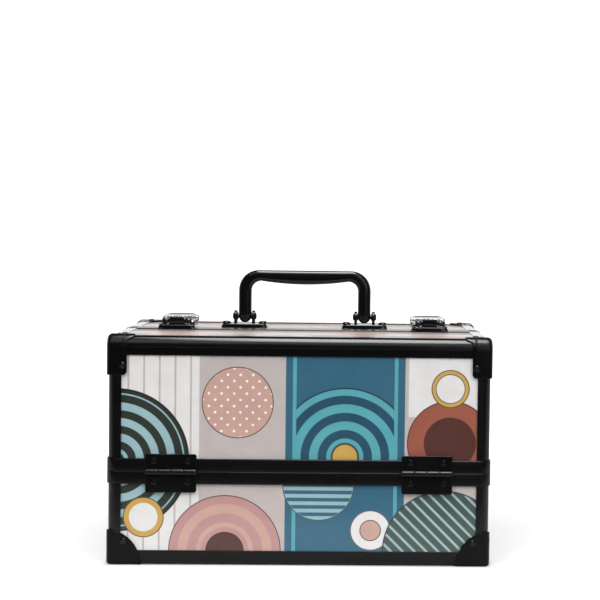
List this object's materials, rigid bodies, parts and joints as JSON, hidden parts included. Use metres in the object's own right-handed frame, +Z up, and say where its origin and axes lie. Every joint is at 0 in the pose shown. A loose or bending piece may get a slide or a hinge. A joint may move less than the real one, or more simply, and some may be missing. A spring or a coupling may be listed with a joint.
{
  "type": "cosmetic case",
  "caption": "Hard train case for cosmetics with framed panels, half lids that open outwards, level cantilever trays, draw latches and a folding carry handle.",
  "frame": {"origin": "centre of the footprint on the surface that the feet stand on", "axes": "+X along the width to the right, +Y from the front face to the back, +Z up"},
  "size_m": [0.3238, 0.216, 0.2416],
  "materials": {
    "printed_board": "fibreboard with a glossy printed laminate",
    "black_board": "fibreboard with a black laminate",
    "foam_lining": "black foam mat with a velvet face",
    "tray_plastic": "black matte moulding",
    "handle_plastic": "black satin moulding",
    "latch_metal": "glossy black plated steel",
    "fastener_steel": "blackened steel",
    "black_steel": "black satin paint",
    "black_aluminium": "black satin anodising"
  },
  "bodies": {
    "base": {"base_front_panel": "printed_board", "base_back_panel": "printed_board", "base_left_panel": "printed_board", "base_right_panel": "printed_board", "base_floor_panel": "black_board", "base_floor_mat": "foam_lining", "base_front_rim": "black_aluminium", "base_back_rim": "black_aluminium", "base_end_rims": "black_aluminium", "base_bottom_profiles": "black_aluminium", "base_corner_posts": "black_aluminium", "base_corner_protectors": "black_steel", "base_rivets": "fastener_steel", "front_hinge_base_leaves": "black_steel", "back_hinge_base_leaves": "black_steel", "hinge_pins": "fastener_steel", "link_studs": "fastener_steel"},
    "front_lid": {"front_lid_front_panel": "printed_board", "front_lid_top_panel": "printed_board", "front_lid_left_panel": "printed_board", "front_lid_right_panel": "printed_board", "front_lid_wall_rim": "black_aluminium", "front_lid_end_rims": "black_aluminium", "front_lid_top_profile": "black_aluminium", "front_lid_end_profiles": "black_aluminium", "front_lid_corner_posts": "black_aluminium", "front_lid_seam_frame": "black_aluminium", "front_lid_corner_protectors": "black_steel", "front_lid_rivets": "fastener_steel", "front_lid_hinge_leaves": "black_steel", "front_tray_studs": "fastener_steel", "latch_keepers": "latch_metal"},
    "back_lid": {"back_lid_back_panel": "printed_board", "back_lid_top_panel": "printed_board", "back_lid_left_panel": "printed_board", "back_lid_right_panel": "printed_board", "back_lid_wall_rim": "black_aluminium", "back_lid_end_rims": "black_aluminium", "back_lid_top_profile": "black_aluminium", "back_lid_end_profiles": "black_aluminium", "back_lid_corner_posts": "black_aluminium", "back_lid_seam_frame": "black_aluminium", "back_lid_corner_protectors": "black_steel", "back_lid_rivets": "fastener_steel", "back_lid_hinge_leaves": "black_steel", "back_tray_studs": "fastener_steel", "handle_brackets": "black_steel", "handle_bolts": "fastener_steel", "latch_bases": "latch_metal"},
    "front_links": {"front_tray_links": "black_steel"},
    "back_links": {"back_tray_links": "black_steel"},
    "handle": {"carry_handle": "handle_plastic"},
    "front_lower_tray": {"front_lower_tray": "tray_plastic"},
    "front_upper_tray": {"front_upper_tray": "tray_plastic"},
    "back_lower_tray": {"back_lower_tray": "tray_plastic"},
    "back_upper_tray": {"back_upper_tray": "tray_plastic"},
    "left_latch_lever": {"left_latch_lever": "latch_metal"},
    "left_latch_loop": {"left_latch_loop": "latch_metal"},
    "right_latch_lever": {"right_latch_lever": "latch_metal"},
    "right_latch_loop": {"right_latch_loop": "latch_metal"}
  },
  "joints": [
    {"name": "front_lid_hinge", "type": "hinge", "parent": "base", "child": "front_lid", "pos_m": [0, -0.1056, 0.079], "axis": [1, 0, 0], "range_deg": [0, 90]},
    {"name": "front_lower_tray_pivot", "type": "hinge", "parent": "front_lid", "child": "front_lower_tray", "pos_m": [0, -0.0856, 0.095], "axis": [1, 0, 0], "range_deg": [-90, 0]},
    {"name": "front_upper_tray_pivot", "type": "hinge", "parent": "front_lid", "child": "front_upper_tray", "pos_m": [0, -0.0431, 0.129], "axis": [1, 0, 0], "range_deg": [-90, 0]},
    {"name": "front_link_pivot", "type": "hinge", "parent": "base", "child": "front_links", "pos_m": [0, -0.0836, 0.075], "axis": [1, 0, 0], "range_deg": [0, 90]},
    {"name": "back_lid_hinge", "type": "hinge", "parent": "base", "child": "back_lid", "pos_m": [0, 0.1056, 0.079], "axis": [-1, 0, 0], "range_deg": [0, 90]},
    {"name": "back_lower_tray_pivot", "type": "hinge", "parent": "back_lid", "child": "back_lower_tray", "pos_m": [0, 0.0856, 0.095], "axis": [-1, 0, 0], "range_deg": [-90, 0]},
    {"name": "back_upper_tray_pivot", "type": "hinge", "parent": "back_lid", "child": "back_upper_tray", "pos_m": [0, 0.0431, 0.129], "axis": [-1, 0, 0], "range_deg": [-90, 0]},
    {"name": "back_link_pivot", "type": "hinge", "parent": "base", "child": "back_links", "pos_m": [0, 0.0836, 0.075], "axis": [-1, 0, 0], "range_deg": [0, 90]},
    {"name": "handle_fold", "type": "hinge", "parent": "back_lid", "child": "handle", "pos_m": [0, 0.032, 0.2016], "axis": [-1, 0, 0], "range_deg": [-88, 88]},
    {"name": "left_latch_lever_turn", "type": "hinge", "parent": "back_lid", "child": "left_latch_lever", "pos_m": [-0.113, 0.012, 0.1962], "axis": [1, 0, 0], "range_deg": [0, 100]},
    {"name": "left_latch_loop_turn", "type": "hinge", "parent": "left_latch_lever", "child": "left_latch_loop", "pos_m": [-0.113, 0.018, 0.1952], "axis": [1, 0, 0], "range_deg": [-100, 0]},
    {"name": "right_latch_lever_turn", "type": "hinge", "parent": "back_lid", "child": "right_latch_lever", "pos_m": [0.113, 0.012, 0.1962], "axis": [1, 0, 0], "range_deg": [0, 100]},
    {"name": "right_latch_loop_turn", "type": "hinge", "parent": "right_latch_lever", "child": "right_latch_loop", "pos_m": [0.113, 0.018, 0.1952], "axis": [1, 0, 0], "range_deg": [-100, 0]}
  ],
  "couplings": [
    {"joint": "front_lower_tray_pivot", "follows": "front_lid_hinge", "ratio": -1},
    {"joint": "front_upper_tray_pivot", "follows": "front_lid_hinge", "ratio": -1},
    {"joint": "front_link_pivot", "follows": "front_lid_hinge", "ratio": 1},
    {"joint": "back_lower_tray_pivot", "follows": "back_lid_hinge", "ratio": -1},
    {"joint": "back_upper_tray_pivot", "follows": "back_lid_hinge", "ratio": -1},
    {"joint": "back_link_pivot", "follows": "back_lid_hinge", "ratio": 1},
    {"joint": "left_latch_loop_turn", "follows": "left_latch_lever_turn", "ratio": -1},
    {"joint": "right_latch_loop_turn", "follows": "right_latch_lever_turn", "ratio": -1}
  ]
}
